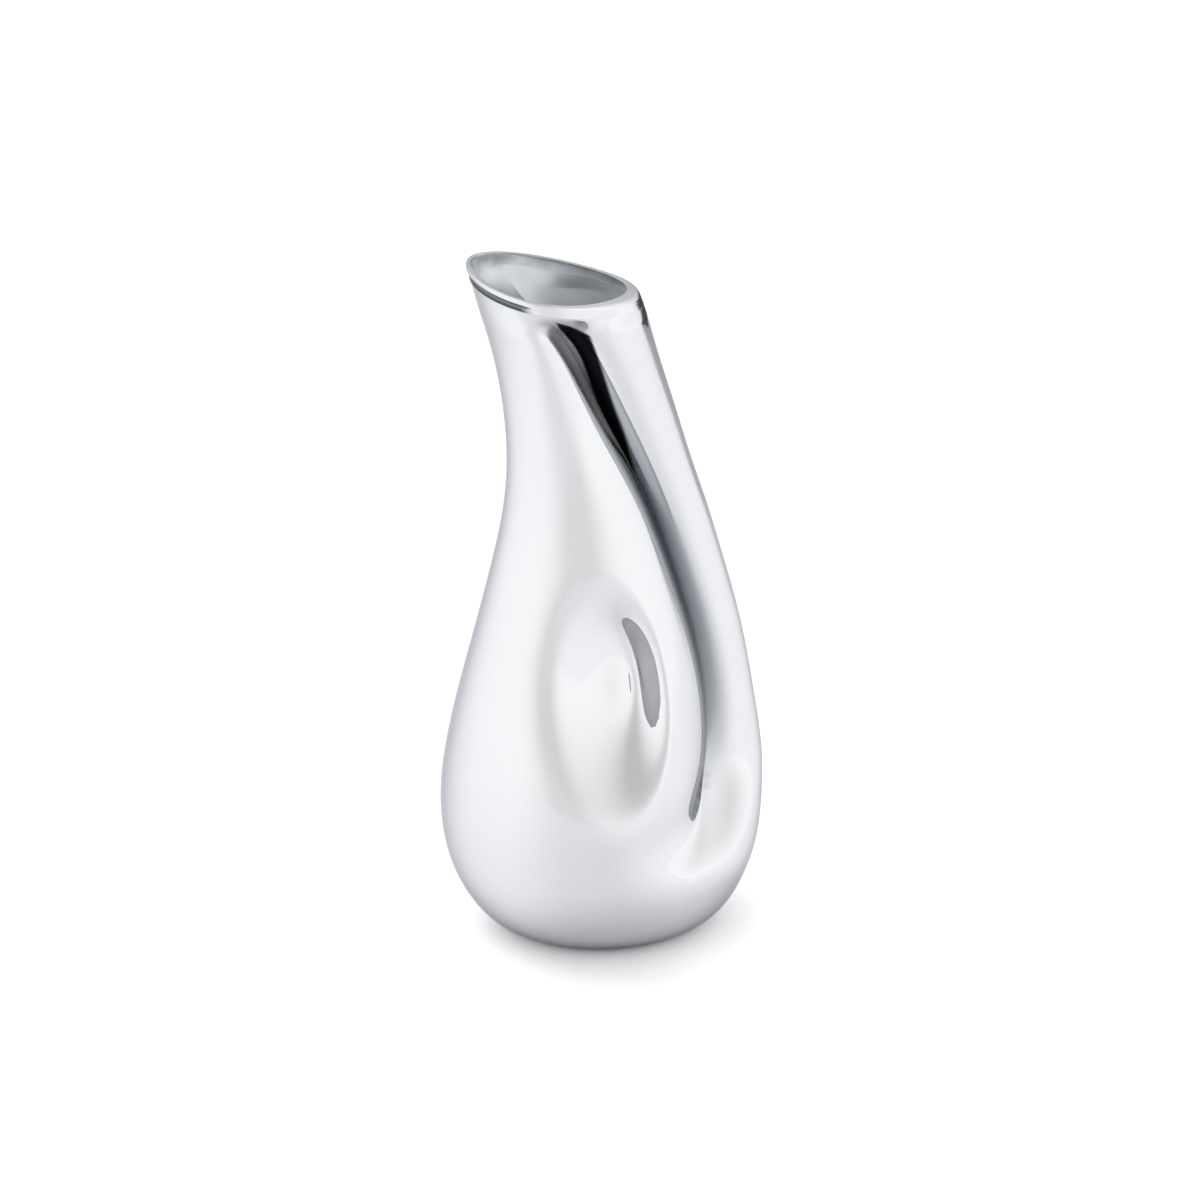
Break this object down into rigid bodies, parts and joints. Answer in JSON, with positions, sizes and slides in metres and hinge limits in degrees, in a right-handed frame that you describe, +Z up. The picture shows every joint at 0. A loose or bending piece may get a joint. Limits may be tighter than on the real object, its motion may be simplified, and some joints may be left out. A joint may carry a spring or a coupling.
{
  "type": "cream jug",
  "caption": "Small one-handed pouring jug with a slanted flared mouth, a pear-shaped body, thumb hollows and a hollow handle that grows out of the body.",
  "frame": {"origin": "centre of the flat underside, on the table", "axes": "+Z up, spout along -X, handle on the +X side, mirror plane y = 0"},
  "size_m": [0.0658, 0.0548, 0.14],
  "materials": {
    "polished_silver": "mirror polished",
    "satin_silver": "fine satin, as left inside a jug"
  },
  "bodies": {
    "root": {"body_left": "polished_silver", "body_right": "polished_silver", "handle_shell": "polished_silver", "rim_wire": "polished_silver", "base_disc": "satin_silver"}
  },
  "joints": []
}
